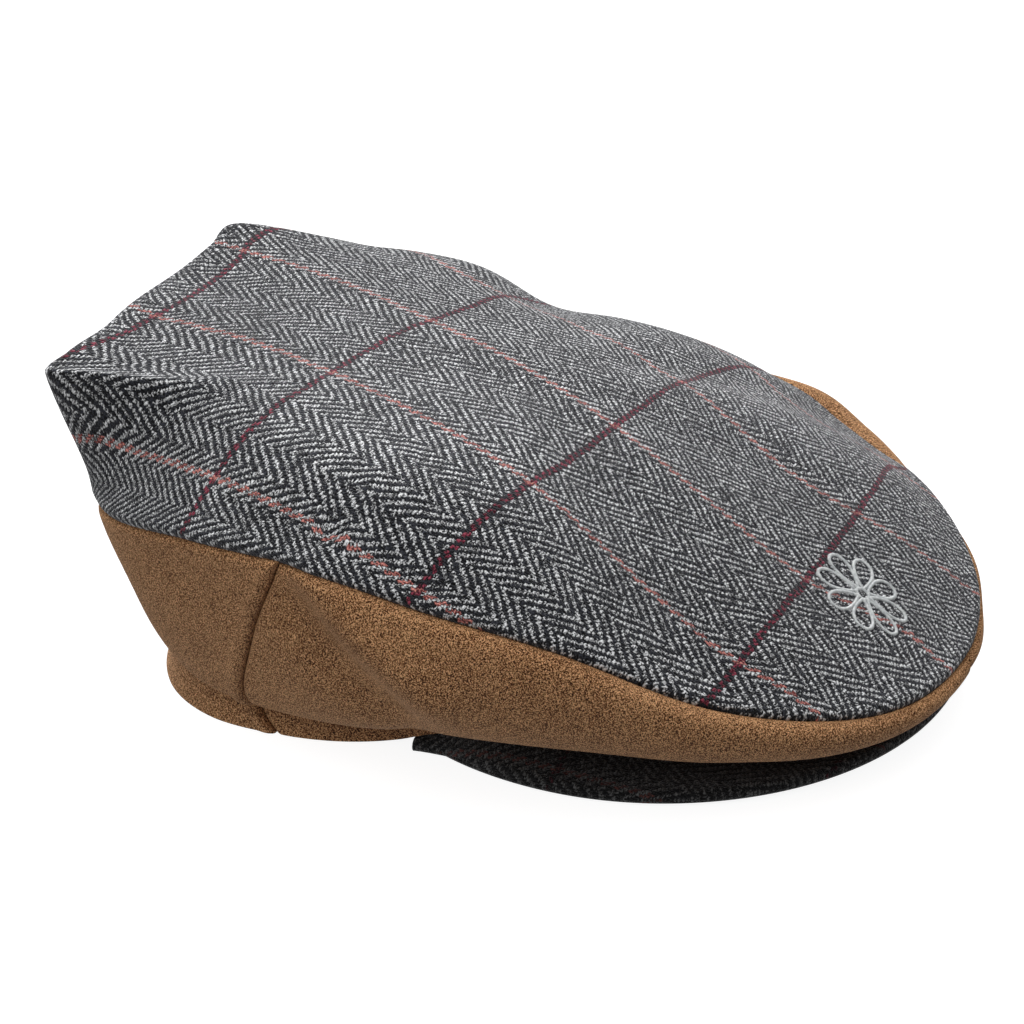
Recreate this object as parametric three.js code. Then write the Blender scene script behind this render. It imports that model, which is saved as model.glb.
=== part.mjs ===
// Flat cap lying on its rim: a one-piece tweed crown over wool sides and a wool back, with a short
// tweed peak under its front. Millimetres, +Z up. The front is -Y and the wearer's right is -X. The rim
// and the sides of the peak stand on z = 0.

import * as THREE from "three";

// Driving dimensions
const CLOTH = 2.0; // thickness of a cloth wall with its backing
const GAP = 0.3; // clearance between neighbouring pieces
const CROWN_HEIGHT = 87; // middle of the crown above the surface
const CROWN_RISE = 0.085; // slope at the middle of the crown, up towards the back
const RIM_RADIUS = 85; // of the head opening at its sides
const HEM_FLARE = 0.25; // outward slope of the hem
const PEAK_THICKNESS = 4;
const PEAK_RADIUS = 88.5; // the peak's outline is an arc of this radius
const PEAK_CENTRE = 49.5; // middle of that arc, in front of the cap's axis
const PEAK_LIFT = 7; // underside of the peak's edge above the surface, at the front
const PEAK_FLAT_ANGLE = 60; // from this angle on, the peak's edge lies on the surface
const PEAK_END_ANGLE = 87;
const PEAK_LIP = 4; // least width of the peak, at its ends
const PEAK_CLEARANCE = 0.5; // between the front edge of the wool and the peak under it
const BACK_SEAM_TOP_ANGLE = 103; // seam between side and back, at the crown
const BACK_SEAM_FOOT_ANGLE = 119; // the same seam at the tuck above the rim
const AXIS_TO_MIDDLE = new THREE.Vector3(-2, 13.2, 0); // brings the middle of the cap's box over the origin

// Meshing
const STEP_ANGLE = 5; // degrees between sections
const CROWN_RINGS = 20;
const SIDE_RINGS = 12;
const HEM_RINGS = 2;
const PEAK_RINGS = 6;

// Each table has a row for each section round the cap. Angles are in degrees from the front, over the
// wearer's right. Radii are from the cap's axis and heights from the surface.

// Seam where the crown meets the sides and the back
const SEAM = {
  columns: ["angle", "radius", "height"],
  rows: [
    [0, 142, 22],
    [20, 141, 24],
    [40, 129, 34],
    [60, 118, 52],
    [80, 110, 60],
    [100, 108, 65],
    [120, 114, 63],
    [140, 125, 58],
    [160, 116, 56],
    [180, 107, 55],
    [200, 108, 55],
    [220, 112, 56],
    [240, 110, 57],
    [260, 108, 57],
    [280, 109, 55],
    [292, 113, 52],
    [300, 114.5, 49.5],
    [307, 116.5, 45],
    [315, 121.5, 41],
    [322, 127.5, 38.5],
    [330, 132, 34],
    [345, 139, 26],
  ],
};

// Crown from its middle to the seam: steepness in degrees and handle length where it meets the seam,
// share of the radius over which it stays flat, and how sharply it folds over at the back
const CROWN = {
  columns: ["angle", "steepness", "handle", "flat", "crease"],
  rows: [
    [0, 38, 36, 0.45, 1],
    [45, 44, 38, 0.45, 1],
    [90, 55, 36, 0.56, 1.2],
    [115, 51, 41, 0.66, 1.4],
    [130, 52, 45, 0.7, 1.7],
    [139, 64, 44, 0.84, 2.4],
    [145, 107, 45, 1.12, 6],
    [149, 103, 48, 1.08, 5.5],
    [160, 97, 50, 1.04, 5],
    [180, 100, 52, 1.09, 5],
    [193, 104, 54, 1.13, 5],
    [200, 109, 57, 1.17, 5.5],
    [207, 104, 50, 1.12, 4.5],
    [220, 97, 36, 1.03, 2.6],
    [240, 84, 32, 0.84, 1.3],
    [270, 62, 22, 0.5, 1],
    [288, 48, 27, 0.48, 1],
    [300, 40, 31, 0.46, 1],
    [318, 36, 35, 0.45, 1],
    [340, 42, 36, 0.45, 1],
  ],
};

// Wool from the seam down to the tuck, and the hem from there to the rim
const SIDE = {
  columns: ["angle", "steepness", "handle", "tuck_radius", "tuck_height", "under", "rim"],
  rows: [
    [0, 70, 8, 90, 10, 44, 9],
    [25, 72, 9, 89, 11, 42, 10],
    [45, 75, 12, 88, 14, 40, 13],
    [70, 82, 22, 83, 15, 32, 12],
    [83, 88, 27, 80, 12, 26, 7],
    [90, 90, 28, 80, 9, 24, 3.5],
    [100, 94, 31, 84, 7.5, 19, 1],
    [110, 98, 34, 90, 7.5, 14, 0],
    [125, 103, 34, 101, 9, 7, 0],
    [140, 103, 36, 104, 10, 2, 0],
    [180, 100, 36, 97, 10, 2, 0],
    [220, 101, 36, 103, 10, 2, 0],
    [235, 98, 34, 101, 9, 7, 0],
    [250, 96, 34, 90, 10, 14, 0],
    [260, 94, 31, 84, 12, 19, 1],
    [270, 88, 28, 80, 13, 24, 3.5],
    [277, 78, 26, 80, 15, 26, 7],
    [287, 40, 20, 83, 15, 34, 12],
    [298, 2, 22, 85, 14, 40, 13],
    [308, 0, 21, 87, 14, 40, 13],
    [315, 12, 15, 87.5, 13, 40.5, 12],
    [320, 45, 11, 88, 12, 41, 11],
    [340, 66, 9, 89.5, 11, 43, 10],
  ],
};

// Soft folds, each along a line from one place to another. A level is 0 at the middle of the crown, 1
// at the seam, 2 at the tuck and 3 at the rim. A sunk fold has a height below zero.
const FOLDS = {
  columns: ["from_angle", "from_level", "to_angle", "to_level", "width", "height"],
  rows: [
    [254, 0.45, 255, 0.85, 19, -5], // dip over the left shoulder
    [222, 0.7, 225, 0.95, 8, -2], // small dip behind it
    [97, 1.05, 77, 1.33, 8, 4], // ridge across the right side
    [99, 1.13, 86, 1.5, 9, -4], // hollow under that ridge
    [260, 1.12, 286, 1.8, 10, 3], // ridge across the left side
    [150, 1.3, 210, 1.3, 14, -3], // hollow across the back
  ],
};

const LEAST_CREASE = 0.8; // the smooth curve through the crease column never goes below this
const FOLD_FADE = 4; // folds die out over the last 1/4 of the wool above the tuck
const FLAT_ENOUGH = 0.01; // a fold lower than this is left out

const radians = THREE.MathUtils.degToRad;

// Place at an angle, a radius from the cap's axis and a height.
function polarPoint(angle, radius, height) {
  const turn = radians(angle);
  return new THREE.Vector3(-Math.sin(turn) * radius, -Math.cos(turn) * radius, height);
}

// Direction down a slope of some steepness in degrees, as radius and height.
function downhill(steepness) {
  const slope = radians(steepness);
  return new THREE.Vector2(Math.cos(slope), -Math.sin(slope));
}

// Values of a table at any angle: a smooth closed curve through its rows.
function section(table, angle) {
  const { columns, rows } = table;
  const count = rows.length;
  const turned = THREE.MathUtils.euclideanModulo(angle, 360);
  const at = (k) => {
    const turns = Math.floor(k / count);
    const [first, ...rest] = rows[k - turns * count];
    return [first + 360 * turns, ...rest];
  };
  let i = count - 1;
  while (i > 0 && rows[i][0] > turned) i -= 1;
  const [before, from, to, after] = [at(i - 1), at(i), at(i + 1), at(i + 2)];
  const span = to[0] - from[0];
  const t = (turned - from[0]) / span;
  const blend = (c) => {
    const leaving = ((to[c] - before[c]) / (to[0] - before[0])) * span;
    const arriving = ((after[c] - from[c]) / (after[0] - from[0])) * span;
    const [a, b] = [t * t * (3 - 2 * t), t * (1 - t)];
    return from[c] * (1 - a) + to[c] * a + b * (leaving * (1 - t) - arriving * t);
  };
  return Object.fromEntries(columns.map((name, c) => [name, blend(c)]));
}

// Cubic arc between four points. A weight over 1 draws it towards the middle two.
function arc(points, weight, t) {
  const u = 1 - t;
  const share = [u ** 3, 3 * weight * u * u * t, 3 * weight * u * t * t, t ** 3];
  const total = share.reduce((sum, w) => sum + w, 0);
  const out = new THREE.Vector2();
  points.forEach((p, k) => out.addScaledVector(p, share[k] / total));
  return out;
}

// Lower edge of the wool: on the surface at the sides and the back, and above the peak in front.
function rimHeight(side) {
  return THREE.MathUtils.clamp(side.rim, 0, side.tuck_height - 1);
}

// Curves of the crown, the wool and the hem in the half-plane at one angle: x is the radius, y the
// height. Each takes a share from 0 at its upper end to 1 at its lower end. The seam between the crown
// and the wool is the gap between the first two.
function profiles(angle) {
  const seam = section(SEAM, angle);
  const crown = section(CROWN, angle);
  const side = section(SIDE, angle);
  const crease = Math.max(crown.crease, LEAST_CREASE);
  const flat = crown.flat * seam.radius;
  const rim = rimHeight(side);
  const edge = new THREE.Vector2(seam.radius, seam.height);
  const crownArc = [
    new THREE.Vector2(0, CROWN_HEIGHT),
    new THREE.Vector2(flat, CROWN_HEIGHT - CROWN_RISE * Math.cos(radians(angle)) * flat),
    edge.clone().addScaledVector(downhill(crown.steepness), -crown.handle),
    edge,
  ];
  const sideArc = [
    edge,
    edge.clone().addScaledVector(downhill(side.steepness), side.handle),
    new THREE.Vector2(side.tuck_radius + side.under, side.tuck_height),
    new THREE.Vector2(side.tuck_radius, side.tuck_height),
  ];
  const foot = new THREE.Vector2(side.tuck_radius + HEM_FLARE * (side.tuck_height - rim), rim);
  const crownEnd = 1 - GAP / 2 / (3 * crease * crown.handle);
  const sideStart = GAP / 2 / (3 * side.handle);
  return [
    (share) => arc(crownArc, crease, crownEnd * share),
    (share) => arc(sideArc, 1, THREE.MathUtils.lerp(sideStart, 1, share)),
    (share) => sideArc[3].clone().lerp(foot, share),
  ];
}

const knownProfiles = new Map();

// Place on the smooth cap at an angle and a level, before its folds.
function smoothPoint(angle, level) {
  const key = angle.toFixed(4);
  if (!knownProfiles.has(key)) knownProfiles.set(key, profiles(angle));
  const part = Math.min(Math.floor(level), 2);
  const flat = knownProfiles.get(key)[part](level - part);
  return polarPoint(angle, flat.x, flat.y);
}

// Outward direction of a surface, halfway between the two sheets where it has a corner.
function outward(surface, angle, level) {
  const [reach, turn] = [0.04, 1];
  const here = surface(angle, level);
  const down = surface(angle, Math.min(level + reach, 3)).sub(here).normalize();
  down.add(here.clone().sub(surface(angle, Math.max(level - reach, 0))).normalize());
  const round = surface(angle + turn, level).sub(surface(angle - turn, level));
  return down.cross(round).negate().normalize();
}

const foldLines = FOLDS.rows.map((row) => {
  const fold = Object.fromEntries(FOLDS.columns.map((name, c) => [name, row[c]]));
  const line = new THREE.Line3(
    smoothPoint(fold.from_angle, fold.from_level),
    smoothPoint(fold.to_angle, fold.to_level),
  );
  return { ...fold, line };
});

// Place on the outside of the cap, with its folds.
function capPoint(angle, level) {
  const point = smoothPoint(angle, level);
  const nearest = new THREE.Vector3();
  let height = 0;
  for (const fold of foldLines) {
    const away = fold.line.closestPointToPoint(point, true, nearest).distanceTo(point) / fold.width;
    height += fold.height * Math.exp(-away * away);
  }
  if (Math.abs(height) < FLAT_ENOUGH || level > 2) return point;
  const fade = Math.min(1, FOLD_FADE * (2 - level));
  return point.addScaledVector(outward(smoothPoint, angle, level), height * fade);
}

// The same place on the inside of the cloth. The rim's edge is level.
function liningPoint(angle, level) {
  const inward = outward(capPoint, angle, Math.max(level, 0.001)).negate();
  if (level === 0) inward.set(0, 0, -1);
  if (level >= 3) inward.setZ(0).normalize();
  return capPoint(angle, level).addScaledVector(inward, CLOTH);
}

// Closed mesh through sections of equal count. Each section runs down the outside and back up the
// inside. A ring joins its last section to its first, and any other piece gets two flat ends.
function wallGeometry(sections, ring) {
  const places = [];
  const known = new Map();
  const index = sections.map((points) => points.map((p) => {
    const key = `${p.x.toFixed(4)},${p.y.toFixed(4)},${p.z.toFixed(4)}`;
    if (!known.has(key)) {
      known.set(key, places.length);
      places.push(p);
    }
    return known.get(key);
  }));
  const triangles = [];
  const quad = (a, b, c, d) => {
    for (const corners of [[a, b, c], [a, c, d]]) {
      if (new Set(corners).size === 3) triangles.push(corners);
    }
  };
  const size = sections[0].length;
  const spans = ring ? sections.length : sections.length - 1;
  for (let i = 0; i < spans; i += 1) {
    const [here, next] = [index[i], index[(i + 1) % sections.length]];
    for (let k = 0; k < size; k += 1) {
      const below = (k + 1) % size;
      quad(here[k], next[k], next[below], here[below]);
    }
  }
  if (!ring) {
    const last = index[index.length - 1];
    for (let k = 0; k < size / 2 - 1; k += 1) {
      const inner = size - 1 - k;
      quad(index[0][k], index[0][k + 1], index[0][inner - 1], index[0][inner]);
      quad(last[inner], last[inner - 1], last[k + 1], last[k]);
    }
  }
  const cross = new THREE.Vector3();
  const volumes = triangles.map(([a, b, c]) => cross.crossVectors(places[a], places[b]).dot(places[c]));
  const inside = volumes.reduce((sum, volume) => sum + volume, 0);
  const facing = inside > 0 ? triangles : triangles.map(([a, b, c]) => [a, c, b]);
  const coordinates = places.flatMap((p) => p.toArray());
  const geometry = new THREE.BufferGeometry();
  geometry.setAttribute("position", new THREE.Float32BufferAttribute(coordinates, 3));
  geometry.setIndex(facing.flat());
  geometry.computeVertexNormals();
  return geometry;
}

// Cloth wall between levels, whose sections stand at the angles that anglesAt gives for a level.
function clothWall(levels, anglesAt, ring) {
  const columns = levels.map((level) => anglesAt(level));
  const sections = columns[0].map((_, i) => [
    ...levels.map((level, j) => capPoint(columns[j][i], level)),
    ...levels.map((level, j) => liningPoint(columns[j][i], level)).reverse(),
  ]);
  return wallGeometry(sections, ring);
}

// Angles between two ends, in equal steps of about STEP_ANGLE.
function spread(from, to) {
  const count = Math.round(Math.abs(to - from) / STEP_ANGLE);
  return Array.from({ length: count + 1 }, (_, i) => THREE.MathUtils.lerp(from, to, i / count));
}

// Crown. Its last ring stops just above the seam, whose level is 1.
const SEAM_EDGE = 0.999999;
const crownLevels = Array.from({ length: CROWN_RINGS + 1 }, (_, k) => (SEAM_EDGE * k) / CROWN_RINGS);
const roundTheCap = spread(0, 360).slice(0, -1);
const topPanel = new THREE.Mesh(
  clothWall(crownLevels, () => roundTheCap, true),
  new THREE.MeshStandardMaterial({ color: 0x6c6c70, roughness: 0.95, metalness: 0 }),
);
topPanel.name = "top_panel";

// Sides and back, down to the rim
const sideLevels = [
  ...Array.from({ length: SIDE_RINGS }, (_, k) => 1 + k / SIDE_RINGS),
  ...Array.from({ length: HEM_RINGS + 1 }, (_, k) => 2 + k / HEM_RINGS),
];
const gapAngle = THREE.MathUtils.radToDeg(GAP / 2 / RIM_RADIUS); // half a gap, as a turn round the cap

function backSeamAngle(level) {
  return THREE.MathUtils.lerp(BACK_SEAM_TOP_ANGLE, BACK_SEAM_FOOT_ANGLE, Math.min(level - 1, 1));
}

// Wool panel between two seams, given as functions of the level.
function woolPanel(name, from, to) {
  const count = spread(from(1), to(1)).length - 1;
  const anglesAt = (level) => Array.from({ length: count + 1 }, (_, i) =>
    THREE.MathUtils.lerp(from(level) + gapAngle, to(level) - gapAngle, i / count));
  const panel = new THREE.Mesh(
    clothWall(sideLevels, anglesAt, false),
    new THREE.MeshStandardMaterial({ color: 0x7a5a3f, roughness: 0.9, metalness: 0 }),
  );
  panel.name = name;
  return panel;
}

const sidePanelRight = woolPanel("side_panel_right", () => 0, backSeamAngle);
const backPanel = woolPanel("back_panel", backSeamAngle, (level) => 360 - backSeamAngle(level));
const sidePanelLeft = woolPanel("side_panel_left", (level) => 360 - backSeamAngle(level), () => 360);

// Peak: it leaves the rim under the wool, and its edge comes down to the surface at both sides.
function peakSection(angle) {
  const side = section(SIDE, angle);
  const turn = radians(angle);
  const inner = side.tuck_radius - CLOTH;
  const offset = PEAK_CENTRE * Math.sin(turn);
  const round = PEAK_CENTRE * Math.cos(turn) + Math.sqrt(PEAK_RADIUS ** 2 - offset ** 2);
  const outer = Math.max(round, inner + PEAK_LIP);
  const lifted = Math.max(0, 1 - Math.abs(angle) / PEAK_FLAT_ANGLE);
  const edge = PEAK_LIFT * lifted ** 2;
  const root = rimHeight(side) - PEAK_CLEARANCE - PEAK_THICKNESS;
  const points = Array.from({ length: PEAK_RINGS + 1 }, (_, k) => {
    const t = k / PEAK_RINGS;
    return polarPoint(angle, THREE.MathUtils.lerp(inner, outer, t), THREE.MathUtils.lerp(root, edge, t));
  });
  const above = points.map((p) => p.clone().setZ(p.z + PEAK_THICKNESS));
  return [...above, ...points.reverse()];
}

const peak = new THREE.Mesh(
  wallGeometry(spread(-PEAK_END_ANGLE, PEAK_END_ANGLE).map(peakSection), false),
  new THREE.MeshStandardMaterial({ color: 0x3c3c3f, roughness: 0.95, metalness: 0 }),
);
peak.name = "peak";

const cap = new THREE.Group();
cap.position.copy(AXIS_TO_MIDDLE);
cap.add(topPanel, sidePanelRight, sidePanelLeft, backPanel, peak);

export default cap;
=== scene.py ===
# Flat cap of herringbone tweed with plain wool sides, lying on its rim and its peak.
# Metres, +Z up. The front is -Y and the wearer's right is -X, as in the frame.

import math

import bpy
import mathutils
import numpy as np
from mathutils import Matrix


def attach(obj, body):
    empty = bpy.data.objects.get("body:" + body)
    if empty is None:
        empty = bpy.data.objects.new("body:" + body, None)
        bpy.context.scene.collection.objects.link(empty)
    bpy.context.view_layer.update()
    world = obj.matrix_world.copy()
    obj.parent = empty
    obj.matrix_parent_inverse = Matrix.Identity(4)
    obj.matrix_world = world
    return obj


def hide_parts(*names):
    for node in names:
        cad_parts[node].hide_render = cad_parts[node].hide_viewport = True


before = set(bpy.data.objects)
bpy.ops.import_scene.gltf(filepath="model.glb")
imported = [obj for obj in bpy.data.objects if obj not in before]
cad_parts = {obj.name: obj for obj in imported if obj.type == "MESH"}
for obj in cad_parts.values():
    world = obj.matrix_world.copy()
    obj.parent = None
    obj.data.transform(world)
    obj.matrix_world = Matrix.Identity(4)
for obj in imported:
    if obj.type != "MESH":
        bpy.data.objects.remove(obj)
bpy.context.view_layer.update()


# Top panel
# One piece of wool tweed that is cut large, eased into the round seam over the sides and pressed flat,
# so that it keeps a pressed corner at the back and hangs slack over the peak.

CLOTH = 0.002  # thickness of a cloth wall with its backing
AXIS = np.array([-0.002, 0.0132, 0])  # foot of the upright axis that the cap's sections turn round
CROWN_HEIGHT = 0.087  # middle of the crown above the surface
CROWN_RISE = 0.085  # slope at the middle of the crown, up towards the back
HEM_FLARE = 0.25  # outward slope of the hem
LEAST_HEM = 0.001  # the rim lies at least this far below the tuck
LEAST_CREASE = 0.8  # the smooth curve through the crown's last column never goes below this
FOLD_FADE = 4  # folds die out over the last quarter of the wool above the tuck

# Angles run in degrees from the front over the wearer's right. Levels run from 0 at the middle of the
# crown to 1 at its seam, 2 at the tuck above the rim and 3 at the rim.
# Seam round the crown: angle, radius, height
SEAM = (
    (0, 0.142, 0.022), (20, 0.141, 0.024), (40, 0.129, 0.034), (60, 0.118, 0.052),
    (80, 0.110, 0.060), (100, 0.108, 0.065), (120, 0.114, 0.063), (140, 0.125, 0.058),
    (160, 0.116, 0.056), (180, 0.107, 0.055), (200, 0.108, 0.055), (220, 0.112, 0.056),
    (240, 0.110, 0.057), (260, 0.108, 0.057), (280, 0.109, 0.055), (292, 0.113, 0.052),
    (300, 0.1145, 0.0495), (307, 0.1165, 0.045), (315, 0.1215, 0.041), (322, 0.1275, 0.0385),
    (330, 0.132, 0.034), (345, 0.139, 0.026),
)
# Crown above the seam: angle, steepness in degrees, handle, flat share of the radius, sharpness of the fold
CROWN = (
    (0, 38, 0.036, 0.45, 1), (45, 44, 0.038, 0.45, 1), (90, 55, 0.036, 0.56, 1.2),
    (115, 51, 0.041, 0.66, 1.4), (130, 52, 0.045, 0.70, 1.7), (139, 64, 0.044, 0.84, 2.4),
    (145, 107, 0.045, 1.12, 6), (149, 103, 0.048, 1.08, 5.5), (160, 97, 0.050, 1.04, 5),
    (180, 100, 0.052, 1.09, 5), (193, 104, 0.054, 1.13, 5), (200, 109, 0.057, 1.17, 5.5),
    (207, 104, 0.050, 1.12, 4.5), (220, 97, 0.036, 1.03, 2.6), (240, 84, 0.032, 0.84, 1.3),
    (270, 62, 0.022, 0.5, 1), (288, 48, 0.027, 0.48, 1), (300, 40, 0.031, 0.46, 1),
    (318, 36, 0.035, 0.45, 1), (340, 42, 0.036, 0.45, 1),
)
# Wool below the seam: angle, steepness, handle, radius and height of the tuck, overhang, height of the rim
SIDE = (
    (0, 70, 0.008, 0.090, 0.010, 0.044, 0.009), (25, 72, 0.009, 0.089, 0.011, 0.042, 0.010),
    (45, 75, 0.012, 0.088, 0.014, 0.040, 0.013), (70, 82, 0.022, 0.083, 0.015, 0.032, 0.012),
    (83, 88, 0.027, 0.080, 0.012, 0.026, 0.007), (90, 90, 0.028, 0.080, 0.009, 0.024, 0.0035),
    (100, 94, 0.031, 0.084, 0.0075, 0.019, 0.001), (110, 98, 0.034, 0.090, 0.0075, 0.014, 0),
    (125, 103, 0.034, 0.101, 0.009, 0.007, 0), (140, 103, 0.036, 0.104, 0.010, 0.002, 0),
    (180, 100, 0.036, 0.097, 0.010, 0.002, 0), (220, 101, 0.036, 0.103, 0.010, 0.002, 0),
    (235, 98, 0.034, 0.101, 0.009, 0.007, 0), (250, 96, 0.034, 0.090, 0.010, 0.014, 0),
    (260, 94, 0.031, 0.084, 0.012, 0.019, 0.001), (270, 88, 0.028, 0.080, 0.013, 0.024, 0.0035),
    (277, 78, 0.026, 0.080, 0.015, 0.026, 0.007), (287, 40, 0.020, 0.083, 0.015, 0.034, 0.012),
    (298, 2, 0.022, 0.085, 0.014, 0.040, 0.013), (308, 0, 0.021, 0.087, 0.014, 0.040, 0.013),
    (315, 12, 0.015, 0.0875, 0.013, 0.0405, 0.012), (320, 45, 0.011, 0.088, 0.012, 0.041, 0.011),
    (340, 66, 0.009, 0.0895, 0.011, 0.043, 0.010),
)
# Soft folds: angle and level of both ends, width, height
FOLDS = (
    (254, 0.45, 255, 0.85, 0.019, -0.005),
    (222, 0.7, 225, 0.95, 0.008, -0.002),
    (97, 1.05, 77, 1.33, 0.008, 0.004),
    (99, 1.13, 86, 1.5, 0.009, -0.004),
    (260, 1.12, 286, 1.8, 0.010, 0.003),
    (150, 1.3, 210, 1.3, 0.014, -0.003),
)


def along_rows(rows, at):
    """Smooth curve through a table's rows: a cubic between two rows, whose slope at a row is that of the
    line between the rows on both sides of it. Beyond the first and last row it runs straight on."""
    rows = np.asarray(rows, float)
    at = np.asarray(at, float)
    place = rows[:, 0]
    slope = np.empty_like(rows)
    slope[1:-1] = (rows[2:] - rows[:-2]) / (place[2:] - place[:-2])[:, None]
    slope[0] = (rows[1] - rows[0]) / (place[1] - place[0])
    slope[-1] = (rows[-1] - rows[-2]) / (place[-1] - place[-2])
    held = np.clip(at, place[0], place[-1])
    i = np.clip(np.searchsorted(place, held, side="right") - 1, 0, len(place) - 2)
    span = (place[i + 1] - place[i])[..., None]
    t = (held - place[i])[..., None] / span
    ease = t * t * (3 - 2 * t)
    curve = rows[i] * (1 - ease) + rows[i + 1] * ease
    curve += t * (1 - t) * span * (slope[i] * (1 - t) - slope[i + 1] * t)
    curve += (at - held)[..., None] * np.where((at < held)[..., None], slope[0], slope[-1])
    return np.moveaxis(curve[..., 1:], -1, 0)


def round_the_cap(rows, angle):
    """The same for a table that closes on itself: its rows are repeated a turn before and a turn after."""
    rows = np.asarray(rows, float)
    turn = np.zeros_like(rows)
    turn[:, 0] = 360
    return along_rows(np.concatenate([rows - turn, rows, rows + turn]), np.mod(angle, 360))


def arc(points, weight, t):
    """Cubic arc between four points of radius and height. A weight over 1 draws it to the middle two."""
    u = 1 - t
    share = (u**3, 3 * weight * u * u * t, 3 * weight * u * t * t, t**3)
    total = sum(share)
    return [sum(s * p[k] for s, p in zip(share, points)) / total for k in (0, 1)]


def smooth_point(angle, level):
    """Place on the cap before its folds: in the half-plane at an angle, an arc from the middle of the
    crown to the seam, a second arc on to the tuck, and a straight line down to the rim."""
    angle, level = np.broadcast_arrays(np.asarray(angle, float), np.asarray(level, float))
    seam_radius, seam_height = round_the_cap(SEAM, angle)
    fall, crown_handle, flat, crease = round_the_cap(CROWN, angle)
    drop, side_handle, tuck_radius, tuck_height, under, rim = round_the_cap(SIDE, angle)
    crease = np.maximum(crease, LEAST_CREASE)
    rim = np.clip(rim, 0, tuck_height - LEAST_HEM)
    flat = flat * seam_radius
    turn, fall, drop = np.radians(angle), np.radians(fall), np.radians(drop)
    edge = (seam_radius, seam_height)
    crown_arc = (
        (np.zeros_like(flat), np.full_like(flat, CROWN_HEIGHT)),
        (flat, CROWN_HEIGHT - CROWN_RISE * np.cos(turn) * flat),
        (seam_radius - crown_handle * np.cos(fall), seam_height + crown_handle * np.sin(fall)),
        edge,
    )
    side_arc = (
        edge,
        (seam_radius + side_handle * np.cos(drop), seam_height - side_handle * np.sin(drop)),
        (tuck_radius + under, tuck_height),
        (tuck_radius, tuck_height),
    )
    on_crown = arc(crown_arc, crease, np.clip(level, 0, 1))
    on_side = arc(side_arc, 1, np.clip(level - 1, 0, 1))
    down = np.clip(level - 2, 0, 1)
    on_hem = (tuck_radius + down * HEM_FLARE * (tuck_height - rim), tuck_height + down * (rim - tuck_height))
    radius, height = (
        np.where(level < 1, c, np.where(level < 2, s, h)) for c, s, h in zip(on_crown, on_side, on_hem)
    )
    return AXIS + np.stack([-np.sin(turn) * radius, -np.cos(turn) * radius, height], -1)


def unit(vectors):
    """Vectors of length 1."""
    return vectors / np.maximum(np.linalg.norm(vectors, axis=-1, keepdims=True), 1e-12)


def outward(surface, angle, level, reach=0.04, turn=1.0):
    """Outward direction of a surface: round the cap crossed with down the cap, from nearby points."""
    here = surface(angle, level)
    down = unit(surface(angle, np.minimum(level + reach, 3)) - here)
    down += unit(here - surface(angle, np.maximum(level - reach, 0)))
    return unit(np.cross(surface(angle + turn, level) - surface(angle - turn, level), down))


def cap_point(angle, level):
    """Place on the outside of the cap: the smooth point, raised by each fold's height times a bell curve of
    its distance from the fold's line, fading out towards the tuck."""
    angle, level = np.broadcast_arrays(np.asarray(angle, float), np.asarray(level, float))
    point = smooth_point(angle, level)
    height = np.zeros(angle.shape)
    for from_angle, from_level, to_angle, to_level, width, rise in FOLDS:
        start = smooth_point(from_angle, from_level)
        way = smooth_point(to_angle, to_level) - start
        share = np.clip((point - start) @ way / (way @ way), 0, 1)
        away = np.linalg.norm(point - start - share[..., None] * way, axis=-1)
        height += rise * np.exp(-((away / width) ** 2))
    height *= np.clip(FOLD_FADE * (2 - level), 0, 1)
    return point + outward(smooth_point, angle, level) * height[..., None]


def steps_along(points, axis):
    """Distances between neighbouring points of a grid along one of its axes."""
    return np.linalg.norm(np.diff(points, axis=axis), axis=-1)


TOP_SECTIONS = 360
TOP_RINGS = 97
PROFILE_STEPS = 900  # places on each profile from which the rings are picked
SEAM_EDGE = 0.999999  # level of the last ring, just above the seam
FIRST_RING = 0.0015  # radius of the innermost ring, inside which the mesh closes in a point
TURN_SHARE = 0.5  # how much rings gather where the cloth turns
SEAM_SHARE = 0.3  # how much rings gather at the seam
EDGE_ROLL = 0.0026  # radius of the roll that the tweed makes where it turns in at its seam
EDGE_SWELL = 0.0011  # the turned-in edge makes the tweed swell by this much
EDGE_WIDTH = 0.006
WAVES = 7  # plane waves that make up a cloth's unevenness
WAVE_SPREAD = (0.7, 1.3)  # least and greatest wave number, as shares of the usual one
UNEVENNESS = 0.0004  # height of the unevenness
TWEED_WAVE = 0.045  # usual length of its waves in the tweed


def rolled_in(away, radius):
    """Depth of a cloth's edge that rolls in at a seam, by the distance from it: a quarter circle."""
    short = np.clip(radius - away, 0, radius)
    return radius - np.sqrt(radius**2 - short**2)


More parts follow.
